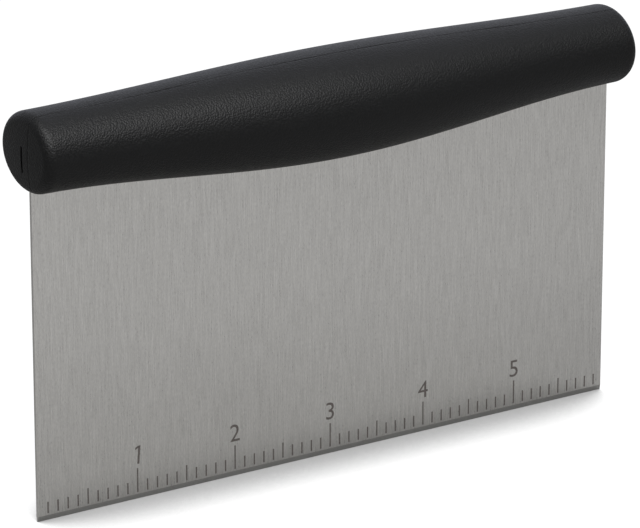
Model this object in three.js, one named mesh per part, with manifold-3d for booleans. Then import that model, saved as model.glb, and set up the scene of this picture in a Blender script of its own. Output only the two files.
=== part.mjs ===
// Dough cutter: a stainless blade pinned into a two-piece moulded barrel handle.
// Millimetres, +Z up. The origin is the middle of the cutting edge, and the blade stands in the XZ plane.
import * as THREE from 'three';
import { mergeVertices } from 'three/addons/utils/BufferGeometryUtils.js';
import Module from 'manifold-3d';

const wasm = await Module();
wasm.setup();

// Blade below the handle
const bladeWidth = 152;
const bladeThickness = 0.8;
const bladeExposure = 76;
const bevelHeight = 1.3;
const edgeLand = 0.3;

// Tang, the part of the blade inside the handle
const tangRise = 1.6; // its top edge, above the axis at the handle's ends
const shoulderHeight = 3; // full width goes this far up into the slot
const shoulderInset = 3; // above the shoulders each end is this much shorter
const tangCornerRadius = 2.5;

// Barrel handle, oval about an axis along X that hangs a little in the middle
const handleOverhang = 2; // past each side of the blade
const handleMidDepth = 29.6;
const handleMidHeight = 24.7;
const handleEndDepth = 21.6;
const handleEndHeight = 18;
const handleSag = 1.5; // of the axis at mid length, below its ends
const endRound = 2.5; // rim of each end face
const leastRound = 0.4; // the same rim where the surface is moved in for a wall
const endDome = 0.4; // crown of each end face
const slitHeight = 6; // the slit in each end face, from the top of the tang down

// Joint between the grip body and its front cover
const seamOffset = 2.6; // in front of the blade's middle plane
const seamGap = 0.3; // shadow line round the outside
const landInset = 0.8; // the cover's seating land starts this far in
const tongueInset = 1.2;
const tongueDepth = 1;
const coverWall = 2.4;
const ribThickness = 1.2;
const ribsPerPin = 3;
const bossDiameter = 6;
const pegDiameter = 3.5;
const pegLength = 6;
const pegCount = 3;

// Cross pins
const pinDiameter = 4;
const pinCount = 4;
const pinPitch = 40;
const pinDepth = 7; // behind the blade's middle plane
const dowelChamfer = 0.4;

// Clearances
const fitGap = 0.3; // round pins, pegs and the tongue
const slotGap = 0.1; // each side of the tang
const underGap = 0.3; // exposed blade to the handle's underside at the ends

// Facets
const turnSegments = 40;
const barrelSteps = 22;
const roundSteps = 4;
const domeSteps = 2;
const holeSegments = 24;

// Derived sizes
const handleLength = bladeWidth + 2 * handleOverhang;
const axisHeight = bladeExposure + underGap + handleEndHeight / 2;
const wellOutside = handleLength + handleMidDepth; // a size that reaches past the whole handle
const pinPlaces = centredRow(pinCount, pinPitch);
const pegPlaces = centredRow(pegCount, pinPitch);
const ribPlaces = ribRow();
const pinHeight = (tangRise + Math.max(...pinPlaces.map(grooveBottom))) / 2;
const pegHeight = (tangRise + slotGap + Math.min(...pegPlaces.map(grooveTop))) / 2;

function centredRow(count, pitch) {
  return Array.from({ length: count }, (_, i) => (i - (count - 1) / 2) * pitch);
}

// One rib closes each pin's bore, with the same pitch carried on to the ends of the cover.
function ribRow() {
  const pitch = pinPitch / ribsPerPin;
  const places = [];
  const reach = handleLength / 2 - coverWall - pitch / 2;
  for (let x = pinPlaces[0]; x >= -reach; x -= pitch) {
    places.unshift(x);
  }
  for (let x = pinPlaces[0] + pitch; x <= reach; x += pitch) {
    places.push(x);
  }
  return places;
}

// The swell at x, from 0 at the handle's ends to 1 at mid length
function swell(x) {
  return (1 + Math.cos((2 * Math.PI * x) / handleLength)) / 2;
}

function halfDepth(x) {
  return (handleEndDepth + (handleMidDepth - handleEndDepth) * swell(x)) / 2;
}

function halfHeight(x) {
  return (handleEndHeight + (handleMidHeight - handleEndHeight) * swell(x)) / 2;
}

function axisDrop(x) {
  return handleSag * swell(x);
}

// Half the height, on the seam plane at x, that the body's groove leaves free
function grooveReach(x) {
  const inset = coverWall + fitGap;
  return (halfHeight(x) - inset) * Math.sqrt(1 - (seamOffset / (halfDepth(x) - inset)) ** 2);
}

function grooveTop(x) {
  return grooveReach(x) - axisDrop(x);
}

function grooveBottom(x) {
  return -grooveReach(x) - axisDrop(x);
}

// A closed solid from any closed geometry, without the collapsed triangles at a pole
function solid(geometry) {
  geometry.deleteAttribute('normal');
  geometry.deleteAttribute('uv');
  const merged = mergeVertices(geometry);
  const index = merged.index.array;
  const kept = [];
  for (let i = 0; i < index.length; i += 3) {
    const [a, b, c] = index.slice(i, i + 3);
    if (a !== b && b !== c && c !== a) {
      kept.push(a, b, c);
    }
  }
  const vertProperties = new Float32Array(merged.attributes.position.array);
  const triVerts = new Uint32Array(kept);
  return new wasm.Manifold(new wasm.Mesh({ numProp: 3, vertProperties, triVerts }));
}

function box(low, high) {
  const size = new THREE.Vector3().subVectors(high, low);
  const middle = new THREE.Vector3().addVectors(low, high).divideScalar(2);
  return solid(new THREE.BoxGeometry(size.x, size.y, size.z).translate(middle.x, middle.y, middle.z));
}

// All of the handle between two planes across Y
function slab(back, front) {
  return box(
    new THREE.Vector3(-wellOutside, front, -wellOutside),
    new THREE.Vector3(wellOutside, back, wellOutside),
  );
}

function inFrontOf(y) {
  return slab(y, -wellOutside);
}

function behind(y) {
  return slab(wellOutside, y);
}

// A chamfered round rod along Y, from front to back, at x and z
function dowel(diameter, front, back, x, z) {
  const r = diameter / 2;
  const profile = [
    [0, front],
    [r - dowelChamfer, front],
    [r, front + dowelChamfer],
    [r, back - dowelChamfer],
    [r - dowelChamfer, back],
    [0, back],
  ].map(([radius, y]) => new THREE.Vector2(radius, y));
  return solid(new THREE.LatheGeometry(profile, holeSegments).translate(x, 0, z));
}

// A plain round cutter along Y
function bore(diameter, front, back, x, z) {
  const rod = new THREE.CylinderGeometry(diameter / 2, diameter / 2, back - front, holeSegments);
  return solid(rod.translate(x, (front + back) / 2, z));
}

// A closed skin over oval rings along X, each centred on the hanging axis
function skin(rings) {
  const profile = rings.map((ring) => new THREE.Vector2(ring.height, ring.x));
  const turned = new THREE.LatheGeometry(profile, turnSegments).rotateZ(-Math.PI / 2);
  const place = turned.attributes.position;
  for (let i = 0; i < place.count; i += 1) {
    const ring = rings[i % rings.length];
    const widen = ring.height > 0 ? ring.depth / ring.height : 1;
    place.setY(i, place.getY(i) * widen);
    place.setZ(i, place.getZ(i) - axisDrop(ring.x));
  }
  return turned;
}

// The whole barrel, with its surface moved in by inset
function barrel(inset) {
  const reach = handleLength / 2 - inset;
  const round = Math.max(endRound - inset, leastRound);
  const straight = reach - endDome - round;
  const faceDepth = halfDepth(straight) - inset - round;
  const faceHeight = halfHeight(straight) - inset - round;
  const end = [];
  for (let i = 0; i <= domeSteps; i += 1) {
    const share = i / domeSteps;
    end.push({ x: -reach + endDome * share ** 2, depth: faceDepth * share, height: faceHeight * share });
  }
  for (let i = 1; i <= roundSteps; i += 1) {
    const angle = (Math.PI / 2) * (i / roundSteps);
    const out = round * Math.sin(angle);
    end.push({ x: -straight - round * Math.cos(angle), depth: faceDepth + out, height: faceHeight + out });
  }
  const side = [];
  for (let i = 1; i < barrelSteps; i += 1) {
    const x = straight * ((2 * i) / barrelSteps - 1);
    side.push({ x, depth: halfDepth(x) - inset, height: halfHeight(x) - inset });
  }
  const otherEnd = end.map((ring) => ({ ...ring, x: -ring.x })).reverse();
  return solid(skin([...end, ...side, ...otherEnd]));
}

// The ground plate that shows below the handle
function bladePlate() {
  const half = bladeThickness / 2;
  const section = new THREE.Shape([
    new THREE.Vector2(-edgeLand / 2, 0),
    new THREE.Vector2(edgeLand / 2, 0),
    new THREE.Vector2(half, bevelHeight),
    new THREE.Vector2(half, bladeExposure),
    new THREE.Vector2(-half, bladeExposure),
    new THREE.Vector2(-half, bevelHeight),
  ]);
  const plate = new THREE.ExtrudeGeometry(section, { depth: bladeWidth, bevelEnabled: false });
  plate.translate(0, 0, -bladeWidth / 2);
  const alongX = new THREE.Matrix4().makeBasis(
    new THREE.Vector3(0, 1, 0),
    new THREE.Vector3(0, 0, 1),
    new THREE.Vector3(1, 0, 0),
  );
  return solid(plate.applyMatrix4(alongX));
}

// The tang, with its shoulders, round corners and a hole for each pin
function bladeTang() {
  const full = bladeWidth / 2;
  const narrow = full - shoulderInset;
  const shoulder = bladeExposure + shoulderHeight;
  const top = axisHeight + tangRise;
  const r = tangCornerRadius;
  const outline = new THREE.Shape();
  outline.moveTo(-full, bladeExposure);
  outline.lineTo(full, bladeExposure);
  outline.lineTo(full, shoulder);
  outline.lineTo(narrow, shoulder);
  outline.absarc(narrow - r, top - r, r, 0, Math.PI / 2, false);
  outline.absarc(r - narrow, top - r, r, Math.PI / 2, Math.PI, false);
  outline.lineTo(-narrow, shoulder);
  outline.lineTo(-full, shoulder);
  for (const x of pinPlaces) {
    const hole = new THREE.Path();
    hole.absarc(x, axisHeight + pinHeight, pinDiameter / 2 + fitGap, 0, 2 * Math.PI, true);
    outline.holes.push(hole);
  }
  const sheet = new THREE.ExtrudeGeometry(outline, {
    depth: bladeThickness,
    bevelEnabled: false,
    curveSegments: holeSegments / 2,
  });
  sheet.translate(0, 0, -bladeThickness / 2);
  return solid(sheet.rotateX(Math.PI / 2));
}

// The rear part of the handle: it holds the tang in a slot that is open below, with a slit through each end.
function gripBody() {
  const grooveFloor = -seamOffset + tongueDepth + fitGap;
  const groove = barrel(tongueInset - fitGap)
    .subtract(barrel(coverWall + fitGap))
    .intersect(inFrontOf(grooveFloor));
  const slotHalf = bladeThickness / 2 + slotGap;
  const slotReach = bladeWidth / 2 + slotGap;
  const slotTop = tangRise + slotGap;
  const slot = box(
    new THREE.Vector3(-slotReach, -slotHalf, -wellOutside),
    new THREE.Vector3(slotReach, slotHalf, slotTop),
  );
  const slit = box(
    new THREE.Vector3(-wellOutside, -slotHalf, slotTop - slitHeight),
    new THREE.Vector3(wellOutside, slotHalf, slotTop),
  );
  let body = barrel(0).intersect(behind(-seamOffset)).subtract(groove).subtract(slot.add(slit));
  for (const x of pinPlaces) {
    body = body.subtract(bore(pinDiameter + 2 * fitGap, -handleMidDepth, pinDepth, x, pinHeight));
  }
  const socketEnd = -seamOffset + pegLength + fitGap;
  for (const x of pegPlaces) {
    body = body.subtract(bore(pegDiameter + 2 * fitGap, -handleMidDepth, socketEnd, x, pegHeight));
  }
  return body;
}

// The front part of the handle: a ribbed shell with a tongue round its rim and pegs on bosses.
function gripCover() {
  const rim = barrel(0).intersect(inFrontOf(-seamOffset - seamGap));
  const land = barrel(landInset).intersect(inFrontOf(-seamOffset));
  const tongue = barrel(tongueInset).intersect(inFrontOf(-seamOffset + tongueDepth));
  let pockets = barrel(coverWall);
  for (const x of ribPlaces) {
    const rib = box(
      new THREE.Vector3(x - ribThickness / 2, -wellOutside, -wellOutside),
      new THREE.Vector3(x + ribThickness / 2, -seamOffset, wellOutside),
    );
    pockets = pockets.subtract(rib);
  }
  let cover = rim.add(land).add(tongue).subtract(pockets);
  const bossRoom = barrel(coverWall / 2);
  for (const x of pegPlaces) {
    const boss = bore(bossDiameter, -handleMidDepth, -seamOffset, x, pegHeight).intersect(bossRoom);
    const peg = dowel(pegDiameter, -seamOffset - ribThickness, -seamOffset + pegLength, x, pegHeight);
    cover = cover.add(boss).add(peg);
  }
  return cover;
}

const brushedSteel = { color: 0x9b9a96, roughness: 0.38, metalness: 1 };
const blackGrip = { color: 0x1e1d1f, roughness: 0.55, metalness: 0 };
const pinSteel = { color: 0xa8a8a6, roughness: 0.3, metalness: 1 };

function piece(name, shape, finish) {
  const { vertProperties, triVerts } = shape.getMesh();
  const geometry = new THREE.BufferGeometry();
  geometry.setAttribute('position', new THREE.BufferAttribute(vertProperties, 3));
  geometry.setIndex(new THREE.BufferAttribute(triVerts, 1));
  const mesh = new THREE.Mesh(geometry, new THREE.MeshStandardMaterial(finish));
  mesh.name = name;
  return mesh;
}

const handle = new THREE.Group();
handle.position.z = axisHeight;
handle.add(piece('grip_body', gripBody(), blackGrip));
handle.add(piece('grip_cover', gripCover(), blackGrip));
pinPlaces.forEach((x, i) => {
  const pin = dowel(pinDiameter, -seamOffset, pinDepth, x, pinHeight);
  handle.add(piece(`cross_pin_${i + 1}`, pin, pinSteel));
});

const doughCutter = new THREE.Group();
doughCutter.add(piece('blade', bladePlate().add(bladeTang()), brushedSteel));
doughCutter.add(handle);

export default doughCutter;
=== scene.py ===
from math import cos, pi, radians, sin

import bmesh
import bpy
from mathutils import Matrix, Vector


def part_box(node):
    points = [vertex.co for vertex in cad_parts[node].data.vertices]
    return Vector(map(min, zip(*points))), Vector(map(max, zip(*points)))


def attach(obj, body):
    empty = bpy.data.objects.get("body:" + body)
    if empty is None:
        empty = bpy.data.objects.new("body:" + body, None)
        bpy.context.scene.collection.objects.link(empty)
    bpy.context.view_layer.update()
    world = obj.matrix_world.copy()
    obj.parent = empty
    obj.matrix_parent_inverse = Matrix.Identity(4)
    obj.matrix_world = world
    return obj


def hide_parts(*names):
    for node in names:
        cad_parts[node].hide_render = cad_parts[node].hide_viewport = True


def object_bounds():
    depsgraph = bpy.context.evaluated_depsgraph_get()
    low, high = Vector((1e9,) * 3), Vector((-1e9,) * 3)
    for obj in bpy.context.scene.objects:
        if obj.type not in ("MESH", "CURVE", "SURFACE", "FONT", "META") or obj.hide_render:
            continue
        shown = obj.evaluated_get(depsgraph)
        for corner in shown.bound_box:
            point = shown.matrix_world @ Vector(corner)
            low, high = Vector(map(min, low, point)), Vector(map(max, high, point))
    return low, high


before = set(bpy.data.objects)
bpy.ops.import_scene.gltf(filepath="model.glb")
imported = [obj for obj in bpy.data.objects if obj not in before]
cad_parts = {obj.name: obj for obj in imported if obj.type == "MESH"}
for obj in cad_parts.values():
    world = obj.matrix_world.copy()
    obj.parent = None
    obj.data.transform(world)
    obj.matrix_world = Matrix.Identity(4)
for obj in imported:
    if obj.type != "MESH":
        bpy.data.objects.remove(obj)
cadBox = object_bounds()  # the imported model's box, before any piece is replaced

mm = 0.001
bladeLow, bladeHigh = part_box("blade")
bodyLow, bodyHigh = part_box("grip_body")
pinBoxes = [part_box(name) for name in sorted(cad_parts) if name.startswith("cross_pin")]
hair = 0.001 * mm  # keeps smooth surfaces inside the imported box
sameSpot = 0.01 * mm  # points closer than this count as one
facing = 0.9  # a face with this much of an axis in its normal faces along it
midDepth = bodyHigh.y - hair  # half the handle's depth, which the blade's middle plane halves
seamY = bodyLow.y  # where the front cover meets the body
print("frame loaded:", len(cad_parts), "nodes, handle", round(2 * midDepth / mm, 2), "mm deep")


# Helpers for working by hand on one piece at a time

def pickNothing():
    if bpy.context.mode != "OBJECT":
        bpy.ops.object.mode_set(mode="OBJECT")
    bpy.ops.object.select_all(action="DESELECT")


def pickPiece(piece):
    pickNothing()
    piece.select_set(True)
    bpy.context.view_layer.objects.active = piece


def editPiece(piece):  # edit mode with all faces of the piece selected
    pickPiece(piece)
    bpy.ops.object.mode_set(mode="EDIT")
    bpy.ops.mesh.select_mode(type="FACE")
    bpy.ops.mesh.select_all(action="SELECT")


def pickFaces(piece, test):
    bpy.ops.mesh.select_all(action="DESELECT")
    shape = bmesh.from_edit_mesh(piece.data)
    for face in shape.faces:
        if test(face):
            face.select_set(True)
    bmesh.update_edit_mesh(piece.data)


def pickEdges(piece, test):
    bpy.ops.mesh.select_all(action="DESELECT")
    shape = bmesh.from_edit_mesh(piece.data)
    for edge in shape.edges:
        if test(edge):
            edge.select_set(True)
    bmesh.update_edit_mesh(piece.data)


def nameAndSettle(name):  # the new object's place goes into its mesh
    piece = bpy.context.object
    piece.name = piece.data.name = name
    bpy.ops.object.transform_apply(location=True, rotation=True, scale=True)
    return piece


def addBlock(name, low, high):
    pickNothing()
    middle = [(a + b) / 2 for a, b in zip(low, high)]
    size = [b - a for a, b in zip(low, high)]
    bpy.ops.mesh.primitive_cube_add(size=1, location=middle, scale=size)
    return nameAndSettle(name)


def addRod(name, radius, x, z, front, back, sides=48):  # a round rod along Y
    pickNothing()
    bpy.ops.mesh.primitive_cylinder_add(
        vertices=sides, radius=radius, depth=back - front,
        location=(x, (front + back) / 2, z), rotation=(radians(90), 0, 0),
    )
    return nameAndSettle(name)


def copyPiece(piece, name):
    pickPiece(piece)
    bpy.ops.object.duplicate(linked=False)
    copy = bpy.context.object
    copy.name = copy.data.name = name
    return copy


def joinPieces(pieces, name):
    pickPiece(pieces[0])
    for piece in pieces:
        piece.select_set(True)
    bpy.ops.object.join()
    pieces[0].name = pieces[0].data.name = name
    return pieces[0]


def cutPiece(piece, tool, operation="DIFFERENCE"):
    pickPiece(piece)
    bpy.ops.object.modifier_add(type="BOOLEAN")
    cut = piece.modifiers[-1]
    cut.operation = operation
    cut.solver = "EXACT"
    cut.material_mode = "TRANSFER"
    cut.object = tool
    bpy.ops.object.modifier_apply(modifier=cut.name)
    bpy.data.objects.remove(tool)


def pinHole(low, high, gap):  # radius, x and z of a hole round the pin in that box
    return (high.x - low.x) / 2 + gap, (low.x + high.x) / 2, (low.z + high.z) / 2


# The sagging barrel that both grip pieces start from

barrel = {
    "halfLength": cadBox[1].x - hair,
    "midHeight": 12.35 * mm,  # these are halves of the oval section
    "endDepth": 10.8 * mm,
    "endHeight": 9.0 * mm,
    "sag": 1.5 * mm,  # of the axis at mid length, below its ends
    "rimRound": 2.5 * mm,
    "leastRound": 0.4 * mm,  # the rim of a surface that is moved in
    "dome": 0.4 * mm,  # crown of each end face
    "poleShare": 0.08,  # the first ring, as a share of the end face
    "domeRings": 6,
    "rimRings": 10,
    "sideRings": 110,
    "turns": 160,
    "smoothAngle": 35,  # edges sharper than this stay sharp
}
endAxisZ = bodyHigh.z - hair - barrel["midHeight"] + barrel["sag"]


def swell(x):  # 0 at the handle's ends, 1 at mid length
    return (1 + cos(pi * x / barrel["halfLength"])) / 2


def swellSection(x):  # half the depth and half the height at x
    depth = barrel["endDepth"] + (midDepth - barrel["endDepth"]) * swell(x)
    height = barrel["endHeight"] + (barrel["midHeight"] - barrel["endHeight"]) * swell(x)
    return depth, height


def axisAt(x):
    return endAxisZ - barrel["sag"] * swell(x)


def barrelRings(inset):  # x, half depth and half height of each ring, from left to right
    reach = barrel["halfLength"] - inset
    rimRound = max(barrel["rimRound"] - inset, barrel["leastRound"])
    straight = reach - barrel["dome"] - rimRound
    faceDepth, faceHeight = [half - inset - rimRound for half in swellSection(straight)]
    end = []
    for step in range(barrel["domeRings"] + 1):
        share = barrel["poleShare"] + (1 - barrel["poleShare"]) * step / barrel["domeRings"]
        end.append((-reach + barrel["dome"] * share ** 2, faceDepth * share, faceHeight * share))
    for step in range(1, barrel["rimRings"] + 1):
        turn = pi / 2 * step / barrel["rimRings"]
        out = rimRound * sin(turn)
        end.append((-straight - rimRound * cos(turn), faceDepth + out, faceHeight + out))
    side = []
    for step in range(1, barrel["sideRings"]):
        x = straight * (2 * step / barrel["sideRings"] - 1)
        depth, height = swellSection(x)
        side.append((x, depth - inset, height - inset))
    return end + side + [(-x, depth, height) for x, depth, height in reversed(end)]


def turnBarrel(name, inset=0.0):
    rings = barrelRings(inset)
    lastX, lastDepth, lastHeight = rings[0]
    pickNothing()
    bpy.ops.mesh.primitive_circle_add(
        vertices=barrel["turns"], radius=lastHeight, fill_type="NGON",
        location=(lastX, 0, axisAt(lastX)), rotation=(0, radians(90), 0),
    )
    piece = nameAndSettle(name)
    editPiece(piece)
    oval = (1, lastDepth / lastHeight, 1)
    bpy.ops.transform.resize(value=oval, center_override=(lastX, 0, axisAt(lastX)))
    for x, depth, height in rings[1:]:
        grow = (1, depth / lastDepth, height / lastHeight)
        move = (x - lastX, 0, axisAt(x) - axisAt(lastX))
        bpy.ops.mesh.extrude_region_move(TRANSFORM_OT_translate={"value": move})
        bpy.ops.transform.resize(value=grow, center_override=(x, 0, axisAt(x)))
        lastX, lastDepth, lastHeight = x, depth, height
    bpy.ops.mesh.select_all(action="SELECT")
    bpy.ops.mesh.normals_make_consistent(inside=False)
    bpy.ops.object.mode_set(mode="OBJECT")
    return piece


# The joint between the grip body and its cover

joint = {
    "lip": 0.08 * mm,  # round on both edges of the seam
    "lipSteps": 3,
    "seamGap": 0.1 * mm,
    "landInset": 0.8 * mm,  # the cover seats on a land inside the gap
    "tongueInset": 1.2 * mm,
    "tongueDepth": 1.0 * mm,
    "wall": 2.4 * mm,
    "fitGap": 0.3 * mm,
    "ribs": 10,
    "ribPitch": 40 / 3 * mm,
    "ribWidth": 1.2 * mm,
    "pegs": 3,
    "pegPitch": 40 * mm,
    "pegRadius": 1.75 * mm,
    "pegLength": 6.0 * mm,  # behind the seam
    "pegRise": 4.3 * mm,  # above the axis at the ends
    "pegTip": 0.4 * mm,  # chamfer
    "bossRadius": 3.0 * mm,
}
pegZ = endAxisZ + joint["pegRise"]


def row(count, pitch):  # places along X, centred
    return [(step - (count - 1) / 2) * pitch for step in range(count)]


def cutAcross(piece, y, side):  # keeps what lies on that side of y and closes the cut
    editPiece(piece)
    bpy.ops.mesh.bisect(plane_co=(0, y, 0), plane_no=(0, side, 0), use_fill=True, clear_inner=True)
    bpy.ops.mesh.remove_doubles(threshold=sameSpot)


def roundLip(inset, height):  # steps the selected cut face outwards along a quarter round
    lastIn, lastOut = 0.0, 0.0
    for step in range(1, joint["lipSteps"] + 1):
        turn = pi / 2 * step / joint["lipSteps"]
        thisIn, thisOut = inset * (1 - cos(turn)), height * sin(turn)
        bpy.ops.mesh.inset(thickness=thisIn - lastIn, depth=thisOut - lastOut)
        lastIn, lastOut = thisIn, thisOut


gripRear = {
    "slotGap": 0.1 * mm,  # round the blade
    "slitHalf": 0.34 * mm,
    "slitHeight": 6.0 * mm,  # from the top of the slot down
    "pinGap": 0.3 * mm,
}


def makeGripRear(blank):
    piece = copyPiece(blank, "grip_rear")
    lip = joint["lip"]
    cutAcross(piece, seamY + lip, 1)
    roundLip(lip, lip)
    bpy.ops.object.mode_set(mode="OBJECT")
    gap = gripRear["slotGap"]
    slotHalf, slotReach, slotTop = bladeHigh.y + gap, bladeHigh.x + gap, bladeHigh.z + gap
    cutPiece(piece, addBlock("slotTool", (-slotReach, -slotHalf, 0), (slotReach, slotHalf, slotTop)))
    reach, slitHalf = 2 * barrel["halfLength"], gripRear["slitHalf"]
    slitLow = slotTop - gripRear["slitHeight"]
    cutPiece(piece, addBlock("slitTool", (-reach, -slitHalf, slitLow), (reach, slitHalf, slotTop)))
    for low, high in pinBoxes:
        radius, x, z = pinHole(low, high, gripRear["pinGap"])
        cutPiece(piece, addRod("boreTool", radius, x, z, -midDepth, high.y))
    fitGap = joint["fitGap"]
    groove = turnBarrel("grooveTool", joint["tongueInset"] - fitGap)
    cutAcross(groove, seamY + joint["tongueDepth"] + fitGap, -1)
    cutPiece(groove, turnBarrel("grooveCore", joint["wall"] + fitGap))
    cutPiece(piece, groove)
    for x in row(joint["pegs"], joint["pegPitch"]):
        back = seamY + joint["pegLength"] + fitGap
        cutPiece(piece, addRod("socketTool", joint["pegRadius"] + fitGap, x, pegZ, -midDepth, back))
    return piece


def addTongue(piece):  # a band that goes into the rear's groove
    tongue = turnBarrel("tongueTool", joint["tongueInset"])
    cutAcross(tongue, seamY + joint["tongueDepth"], -1)
    cutPiece(piece, tongue, "UNION")


def cutPockets(piece):  # hollows the cover and leaves ribs across it
    pockets = turnBarrel("pocketTool", joint["wall"])
    half, reach = joint["ribWidth"] / 2, 2 * barrel["halfLength"]
    for x in row(joint["ribs"], joint["ribPitch"]):
        cutPiece(pockets, addBlock("ribTool", (x - half, -reach, 0), (x + half, seamY, reach)))
    cutPiece(piece, pockets)


def addPegs(piece):
    for x in row(joint["pegs"], joint["pegPitch"]):
        boss = addRod("bossTool", joint["bossRadius"], x, pegZ, -midDepth, seamY)
        cutPiece(boss, turnBarrel("bossRoom", joint["wall"] / 2), "INTERSECT")
        cutPiece(piece, boss, "UNION")
        front, back = seamY - joint["ribWidth"], seamY + joint["pegLength"]
        peg = addRod("pegTool", joint["pegRadius"], x, pegZ, front, back)
        editPiece(peg)
        pickFaces(peg, lambda face: face.normal.y > facing)
        bpy.ops.mesh.bevel(offset=joint["pegTip"], segments=1, affect="EDGES")
        cutPiece(piece, peg, "UNION")


def makeGripFront(blank):
    piece = copyPiece(blank, "grip_front")
    lip = joint["lip"]
    cutAcross(piece, seamY - joint["seamGap"] - lip, -1)
    roundLip(lip, lip)
    bpy.ops.mesh.inset(thickness=joint["landInset"] - lip, depth=0)
    bpy.ops.mesh.extrude_region_move(TRANSFORM_OT_translate={"value": (0, joint["seamGap"], 0)})
    addTongue(piece)
    cutPockets(piece)
    addPegs(piece)
    return piece


blank = turnBarrel("barrelBlank")
rear = makeGripRear(blank)
front = makeGripFront(blank)
bpy.data.objects.remove(blank)
for piece in (rear, front):
    pickPiece(piece)
    bpy.ops.object.shade_smooth_by_angle(angle=radians(barrel["smoothAngle"]))
    print(piece.name, len(piece.data.polygons), "faces")


# The blade

bladeShape = {
    "shoulderTop": 79 * mm,  # full width up to here, inside the slot
    "shoulderInset": 3 * mm,
    "cornerRound": 2.5 * mm,
    "cornerSteps": 8,
    "groundHeight": 1.2 * mm,
    "edgeLand": 0.3 * mm,
    "flatAngle": 0.5,  # faces that meet flatter than this become one
    "edgeBreak": 0.05 * mm,
    "breakSteps": 2,
    "breakAngle": 40,  # edges sharper than this are broken
    "sideShare": 0.5,  # of X in its normal, from which a face counts as the blade's side
    "pinGap": 0.3 * mm,
}


def isTangCorner(edge, tangHalf):
    ends = [end.co for end in edge.verts]
    atTop = all(abs(end.z - bladeHigh.z) < sameSpot for end in ends)
    atSide = all(abs(abs(end.x) - tangHalf) < sameSpot for end in ends)
    return atTop and atSide


def makeBlade():
    low = (bladeLow.x, bladeLow.y, bladeLow.z)
    high = (bladeHigh.x, bladeHigh.y, bladeShape["shoulderTop"])
    piece = addBlock("blade_sheet", low, high)
    tangHalf = bladeHigh.x - bladeShape["shoulderInset"]
    editPiece(piece)
    bpy.ops.mesh.bisect(plane_co=(0, 0, bladeShape["groundHeight"]), plane_no=(0, 0, 1))
    pickFaces(piece, lambda face: face.normal.z < -facing)
    grind = bladeShape["edgeLand"] / (bladeHigh.y - bladeLow.y)
    bpy.ops.transform.resize(value=(1, grind, 1), center_override=(0, 0, 0))
    for x in (-tangHalf, tangHalf):
        bpy.ops.mesh.select_all(action="SELECT")
        bpy.ops.mesh.bisect(plane_co=(x, 0, 0), plane_no=(1, 0, 0))
    pickFaces(
        piece,
        lambda face: face.normal.z > facing and abs(face.calc_center_median().x) < tangHalf,
    )
    rise = bladeHigh.z - bladeShape["shoulderTop"]
    bpy.ops.mesh.extrude_region_move(TRANSFORM_OT_translate={"value": (0, 0, rise)})
    bpy.ops.mesh.select_mode(type="EDGE")
    pickEdges(piece, lambda edge: isTangCorner(edge, tangHalf))
    bpy.ops.mesh.bevel(
        offset=bladeShape["cornerRound"], segments=bladeShape["cornerSteps"], affect="EDGES",
    )
    bpy.ops.mesh.select_all(action="SELECT")
    bpy.ops.mesh.dissolve_limited(angle_limit=radians(bladeShape["flatAngle"]))
    bpy.ops.object.mode_set(mode="OBJECT")
    for pinLow, pinHigh in pinBoxes:
        radius, x, z = pinHole(pinLow, pinHigh, bladeShape["pinGap"])
        cutPiece(piece, addRod("pinHoleTool", radius, x, z, -midDepth, midDepth))
    pickPiece(piece)
    bpy.ops.object.modifier_add(type="BEVEL")
    edgeBreak = piece.modifiers[-1]
    edgeBreak.width = bladeShape["edgeBreak"]
    edgeBreak.segments = bladeShape["breakSteps"]
    edgeBreak.limit_method = "ANGLE"
    edgeBreak.angle_limit = radians(bladeShape["breakAngle"])
    bpy.ops.object.modifier_apply(modifier=edgeBreak.name)
    return piece


ruler = {
    "tenth": 2.54 * mm,
    "tenths": 59,
    "start": 1.65 * mm,  # above the cutting edge
    "short": 2.7 * mm,
    "medium": 3.7 * mm,
    "long": 5.7 * mm,
    "stroke": 0.36 * mm,
    "depth": 0.03 * mm,
    "numeral": 4.3 * mm,  # height of a digit
    "numeralGap": 1.0 * mm,  # above its tick
    "digitShare": 0.73,  # a digit's height as a share of the text size
    "curveSteps": 6,
    "mergeGap": 0.001 * mm,  # points of a numeral closer than this are merged
    "oneStem": 0.52 * mm,
    "oneLean": 0.08,  # to the right
    "oneAside": 0.2 * mm,  # the stem of the 1 stands this far right of its tick
    "flagHeight": 0.55 * mm,
    "flagReach": 0.8 * mm,
    "flagDrop": 0.35 * mm,
}


def tickHeight(count):  # longest at each inch, longer at each half
    if count % 10 == 0:
        return ruler["long"]
    if count % 5 == 0:
        return ruler["medium"]
    return ruler["short"]


def addTick(count):
    x = bladeLow.x + count * ruler["tenth"]
    half = ruler["stroke"] / 2
    bottom = ruler["start"]
    low = (x - half, bladeLow.y - ruler["depth"], bottom)
    high = (x + half, bladeLow.y + ruler["depth"], bottom + tickHeight(count))
    return addBlock("tickTool", low, high)


def addOne(x, z):  # the text font's 1 is a bare stroke, so this one is built with its flag
    half, flag = ruler["oneStem"] / 2, ruler["flagHeight"]
    rise = ruler["numeral"] - flag
    left = x + ruler["oneAside"] - half
    low = (left, bladeLow.y - ruler["depth"], z)
    high = (left + ruler["oneStem"], bladeLow.y + ruler["depth"], z + rise)
    piece = addBlock("numeralTool", low, high)
    editPiece(piece)
    pickFaces(piece, lambda face: face.normal.z > facing)
    bpy.ops.transform.translate(value=(ruler["oneLean"] * rise, 0, 0))
    lean = (ruler["oneLean"] * flag, 0, flag)
    bpy.ops.mesh.extrude_region_move(TRANSFORM_OT_translate={"value": lean})
    pickFaces(
        piece,
        lambda face: face.normal.x < -facing and face.calc_center_median().z > z + rise,
    )
    reach = (-ruler["flagReach"], 0, -ruler["flagDrop"])
    bpy.ops.mesh.extrude_region_move(TRANSFORM_OT_translate={"value": reach})
    bpy.ops.object.mode_set(mode="OBJECT")
    return piece


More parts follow.
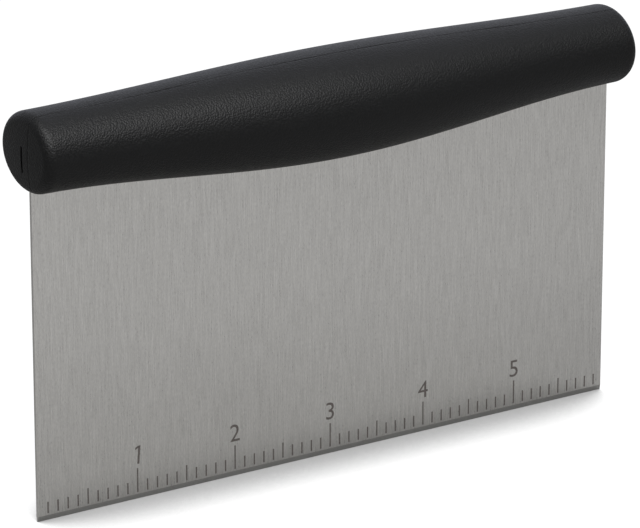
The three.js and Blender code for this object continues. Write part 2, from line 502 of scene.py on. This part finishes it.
def addNumeral(inch):
    x = bladeLow.x + inch * 10 * ruler["tenth"]
    z = ruler["start"] + ruler["long"] + ruler["numeralGap"]
    if inch == 1:
        return addOne(x, z)
    pickNothing()
    bpy.ops.object.text_add(location=(x, bladeLow.y, z), rotation=(radians(90), 0, 0))
    text = bpy.context.object
    text.data.body = str(inch)
    text.data.align_x = "CENTER"
    text.data.size = ruler["numeral"] / ruler["digitShare"]
    text.data.extrude = ruler["depth"]
    text.data.resolution_u = ruler["curveSteps"]
    bpy.ops.object.convert(target="MESH")
    piece = nameAndSettle("numeralTool")
    editPiece(piece)
    bpy.ops.mesh.remove_doubles(threshold=ruler["mergeGap"])
    bpy.ops.mesh.normals_make_consistent(inside=False)
    bpy.ops.object.mode_set(mode="OBJECT")
    return piece


def engraveRuler(blade, etched):
    marks = [addTick(count) for count in range(1, ruler["tenths"] + 1)]
    marks += [addNumeral(inch) for inch in range(1, ruler["tenths"] // 10 + 1)]
    tool = joinPieces(marks, "rulerTool")
    tool.data.materials.clear()
    tool.data.materials.append(etched)
    cutPiece(blade, tool)


# Materials

def newMaterial(name):
    material = bpy.data.materials.new(name)
    material.use_nodes = True
    nodes = material.node_tree.nodes
    return material, nodes, material.node_tree.links, nodes["Principled BSDF"]


noise = {
    "detail": 2,
    "span": (0.3, 0.7),  # where most of a grain's values lie
}


def stretchedNoise(nodes, links, size):  # noise with its grain of that size along X, Y and Z
    place = nodes.new("ShaderNodeTexCoord")
    stretch = nodes.new("ShaderNodeMapping")
    stretch.inputs["Scale"].default_value = [1 / length for length in size]
    grain = nodes.new("ShaderNodeTexNoise")
    grain.inputs["Scale"].default_value = 1
    grain.inputs["Detail"].default_value = noise["detail"]
    links.new(place.outputs["Object"], stretch.inputs["Vector"])
    links.new(stretch.outputs["Vector"], grain.inputs["Vector"])
    return grain.outputs["Fac"]


def pebbleGrain(nodes, links, size):  # round cells of about that size
    place = nodes.new("ShaderNodeTexCoord")
    cells = nodes.new("ShaderNodeTexVoronoi")
    cells.inputs["Scale"].default_value = 1 / size
    links.new(place.outputs["Object"], cells.inputs["Vector"])
    return cells.outputs["Distance"]


def ramp(nodes, links, source, span, dark, light):  # the span's values onto two colours
    blend = nodes.new("ShaderNodeValToRGB")
    first, last = blend.color_ramp.elements
    first.position, last.position = span
    first.color = (*dark, 1)
    last.color = (*light, 1)
    links.new(source, blend.inputs["Fac"])
    return blend.outputs["Color"]


def mapRange(nodes, links, source, span, levels, kind="LINEAR"):  # the span's values onto two levels
    fit = nodes.new("ShaderNodeMapRange")
    fit.interpolation_type = kind
    fit.inputs["From Min"].default_value, fit.inputs["From Max"].default_value = span
    fit.inputs["To Min"].default_value, fit.inputs["To Max"].default_value = levels
    links.new(source, fit.inputs["Value"])
    return fit.outputs["Result"]


def colourByGrain(nodes, links, shader, grain, finish):
    tone = ramp(nodes, links, grain, noise["span"], finish["dark"], finish["light"])
    links.new(tone, shader.inputs["Base Color"])
    gloss = mapRange(nodes, links, grain, noise["span"], finish["roughness"])
    links.new(gloss, shader.inputs["Roughness"])


def raiseByGrain(nodes, links, shader, grain, finish):
    raised = nodes.new("ShaderNodeBump")
    raised.inputs["Distance"].default_value = finish["bumpHeight"]
    raised.inputs["Strength"].default_value = finish["bumpStrength"]
    links.new(grain, raised.inputs["Height"])
    links.new(raised.outputs["Normal"], shader.inputs["Normal"])


brushed = {
    "streak": (0.16 * mm, 0.16 * mm, 5 * mm),
    "scratch": (0.14 * mm, 0.14 * mm, 0.8 * mm),
    "scratchShare": 0.5,
    "dark": (0.44, 0.431, 0.414),
    "light": (0.7, 0.686, 0.659),
    "roughness": (0.26, 0.34),
    "anisotropy": 0.75,  # widest across the upright brushing
    "bumpHeight": 0.004 * mm,
    "bumpStrength": 0.25,
    "metallic": 1,
}


def makeBrushedSteel():
    material, nodes, links, shader = newMaterial("brushed_steel")
    blend = nodes.new("ShaderNodeMix")
    blend.inputs["Factor"].default_value = brushed["scratchShare"]
    links.new(stretchedNoise(nodes, links, brushed["streak"]), blend.inputs["A"])
    links.new(stretchedNoise(nodes, links, brushed["scratch"]), blend.inputs["B"])
    grain = blend.outputs["Result"]
    colourByGrain(nodes, links, shader, grain, brushed)
    raiseByGrain(nodes, links, shader, grain, brushed)
    across = nodes.new("ShaderNodeTangent")
    across.direction_type = "UV_MAP"
    links.new(across.outputs["Tangent"], shader.inputs["Tangent"])
    shader.inputs["Anisotropic"].default_value = brushed["anisotropy"]
    shader.inputs["Metallic"].default_value = brushed["metallic"]
    return material


gripPlastic = {
    "pebble": 0.42 * mm,
    "dark": (0.0003, 0.0003, 0.0003),
    "light": (0.003, 0.003, 0.003),
    "roughness": (0.45, 0.55),
    "specular": 0.232,
    "bumpHeight": 0.09 * mm,
    "bumpStrength": 1.0,
}


def makeGripPlastic():
    material, nodes, links, shader = newMaterial("black_grip")
    grain = pebbleGrain(nodes, links, gripPlastic["pebble"])
    colourByGrain(nodes, links, shader, grain, gripPlastic)
    raiseByGrain(nodes, links, shader, grain, gripPlastic)
    shader.inputs["Specular IOR Level"].default_value = gripPlastic["specular"]
    return material


# the ground bevel's steel: its grain is the ground finish, and its darker colour is partly painted
# shade of the downward-facing bevel
groundFinishAndShade = {
    "grain": (0.15 * mm, 0.15 * mm, 1.5 * mm),
    "dark": (0.34, 0.335, 0.322),
    "light": (0.41, 0.404, 0.39),
    "roughness": (0.3, 0.4),
    "metallic": 1,
}
etch = {
    "grain": (0.2 * mm, 0.2 * mm, 0.6 * mm),
    "dark": (0.1, 0.087, 0.08),
    "light": (0.16, 0.14, 0.13),
    "roughness": (0.5, 0.65),
    "metallic": 0.4,
}
pinFinish = {
    "grain": (0.1 * mm, 1.5 * mm, 0.1 * mm),
    "dark": (0.36, 0.36, 0.35),
    "light": (0.44, 0.44, 0.43),
    "roughness": (0.24, 0.34),
    "metallic": 1,
}


def makePlainSteel(name, finish):
    material, nodes, links, shader = newMaterial(name)
    grain = stretchedNoise(nodes, links, finish["grain"])
    colourByGrain(nodes, links, shader, grain, finish)
    shader.inputs["Metallic"].default_value = finish["metallic"]
    return material


brushedSteel = makeBrushedSteel()
groundSteelAndShade = makePlainSteel("ground_edge_and_painted_shade", groundFinishAndShade)
etchedMark = makePlainSteel("etched_mark", etch)
blackGrip = makeGripPlastic()
pinSteel = makePlainSteel("pin_steel", pinFinish)
print("materials made")


# The blade's finish

blade = makeBlade()
blade.data.materials.clear()
blade.data.materials.append(brushedSteel)
blade.data.materials.append(groundSteelAndShade)
# faces of the ground bevel take the darker steel, which is partly painted shade
for face in blade.data.polygons:
    if face.center.z < bladeShape["groundHeight"] and abs(face.normal.x) < bladeShape["sideShare"]:
        face.material_index = 1
engraveRuler(blade, etchedMark)
editPiece(blade)
bpy.ops.uv.cube_project(cube_size=1)  # U runs along the blade
bpy.ops.object.mode_set(mode="OBJECT")
print(blade.name, len(blade.data.polygons), "faces,", [m.name for m in blade.data.materials])

for piece in (rear, front):
    piece.data.materials.clear()
    piece.data.materials.append(blackGrip)
for name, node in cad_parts.items():
    if name.startswith("cross_pin"):
        node.data.materials.clear()
        node.data.materials.append(pinSteel)

for piece, node, slot in (
    (blade, "blade", "blade_steel"),
    (rear, "grip_body", "grip_black"),
    (front, "grip_cover", "grip_black"),
):
    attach(piece, "root")
    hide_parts(node)


# Floor, light and camera

studio = {
    "floorSize": 12.0,
    # painted shade on the floor: lighter in front of the blade, darker behind it
    "paintedShadeFrontTone": (0.26, 0.26, 0.26),
    "paintedShadeBackTone": (0.1, 0.1, 0.1),
    "paintedShadeSpan": (-0.1, 0.066),  # painted shade: the floor's colour darkens between these places along Y, towards the back
    "floorLift": 0.95,  # added where the camera looks, so that the floor is white
    "shareInMetal": 0.25,  # of that white, as metal and glass show it
    "paintedShadowReach": 35 * mm,  # painted contact shadow: the lift fades this close to the blade
    "paintedShadowOpen": (0.5, 0.84),  # how open the floor is where the fade ends and starts
    # the floor's lift at the blade itself, the darkest point of the painted contact shadow
    "paintedShadowLift": 0.2,
    "skyTone": (0.93, 0.96, 1.0),
    "skyLevel": 0.25,
    "skyShown": 1.0,  # what the camera sees past the floor
}


def mathNode(nodes, links, operation, *sources):  # fed by sockets and plain numbers
    step = nodes.new("ShaderNodeMath")
    step.operation = operation
    for socket, source in zip(step.inputs, sources):
        if isinstance(source, float):
            socket.default_value = source
        else:
            links.new(source, socket)
    return step.outputs[0]


def shareSeen(nodes, links):  # 1 straight from the camera, a share of it in metal and through glass
    path = nodes.new("ShaderNodeLightPath").outputs
    bent = mathNode(nodes, links, "MAXIMUM", path["Is Glossy Ray"], path["Is Transmission Ray"])
    return mathNode(nodes, links, "MULTIPLY_ADD", bent, studio["shareInMetal"], path["Is Camera Ray"])


def makeFloor():
    pickNothing()
    bpy.ops.mesh.primitive_plane_add(size=studio["floorSize"], location=(0, 0, 0))
    floor = bpy.context.object
    floor.name = "floor"
    material = bpy.data.materials.new("pale_floor")
    material.use_nodes = True
    nodes, links = material.node_tree.nodes, material.node_tree.links
    nodes.clear()
    matt = nodes.new("ShaderNodeBsdfDiffuse")
    place = nodes.new("ShaderNodeTexCoord")
    axes = nodes.new("ShaderNodeSeparateXYZ")
    links.new(place.outputs["Object"], axes.inputs["Vector"])
    # painted shade: the floor's colour is lighter in front of the blade and darker behind it
    depth = mapRange(nodes, links, axes.outputs["Y"], studio["paintedShadeSpan"], (0, 1))
    tone = ramp(nodes, links, depth, (0, 1), studio["paintedShadeFrontTone"], studio["paintedShadeBackTone"])
    links.new(tone, matt.inputs["Color"])
    # painted contact shadow: ambient occlusion fades the floor's added white near the blade
    paintedShadowOcclusion = nodes.new("ShaderNodeAmbientOcclusion")
    paintedShadowOcclusion.inputs["Distance"].default_value = studio["paintedShadowReach"]
    levels = (studio["paintedShadowLift"], studio["floorLift"])
    liftWithPaintedShadow = mapRange(nodes, links, paintedShadowOcclusion.outputs["AO"], studio["paintedShadowOpen"], levels, "SMOOTHSTEP")
    glow = nodes.new("ShaderNodeEmission")
    shown = mathNode(nodes, links, "MULTIPLY", liftWithPaintedShadow, shareSeen(nodes, links))
    links.new(shown, glow.inputs["Strength"])
    both = nodes.new("ShaderNodeAddShader")
    links.new(matt.outputs[0], both.inputs[0])
    links.new(glow.outputs[0], both.inputs[1])
    output = nodes.new("ShaderNodeOutputMaterial")
    links.new(both.outputs[0], output.inputs["Surface"])
    floor.data.materials.append(material)


def makeSky():
    world = bpy.data.worlds.new("studio")
    bpy.context.scene.world = world
    world.use_nodes = True
    nodes, links = world.node_tree.nodes, world.node_tree.links
    levels = (studio["skyLevel"], studio["skyShown"])
    sky = nodes["Background"]
    sky.inputs["Color"].default_value = (*studio["skyTone"], 1)
    links.new(mapRange(nodes, links, shareSeen(nodes, links), (0, 1), levels), sky.inputs["Strength"])


softbox = {
    "place": (-0.13, -0.31, 0.76),
    "aim": (0, 0, 0.08),
    "size": (0.65, 0.36),
    "power": 9.5,
    "tone": (1.0, 1.0, 1.0),
}
rimPanel = {
    "place": (0.4, 0.62, 0.3),
    "aim": (0, 0, 0.08),
    "size": (1.5, 1.0),
    "power": 2.8,
    "tone": (0.83, 0.85, 1.0),
}


def makeLight(name, panel):
    pickNothing()
    bpy.ops.object.light_add(type="AREA", location=panel["place"])
    light = bpy.context.object
    light.name = light.data.name = name
    light.data.shape = "RECTANGLE"
    light.data.size, light.data.size_y = panel["size"]
    light.data.energy = panel["power"]
    light.data.color = panel["tone"]
    away = light.location - Vector(panel["aim"])
    light.rotation_euler = away.to_track_quat("Z", "Y").to_euler()


camera = {
    "lens": 262.122,
    "place": (-533.467 * mm, -831.505 * mm, 393.985 * mm),
    "yaw": 32.5713,  # turned to the right of straight ahead
    "pitch": 19.4212,  # looking down
}


def makeCamera():
    pickNothing()
    bpy.ops.object.camera_add(
        location=camera["place"],
        rotation=(radians(90 - camera["pitch"]), 0, radians(-camera["yaw"])),
    )
    view = bpy.context.object
    view.name = "camera"
    view.data.lens = camera["lens"]
    bpy.context.scene.camera = view


makeFloor()
makeSky()
makeLight("softbox", softbox)
makeLight("rim_panel", rimPanel)
makeCamera()
bpy.context.scene.view_settings.view_transform = "Standard"
print("studio ready")
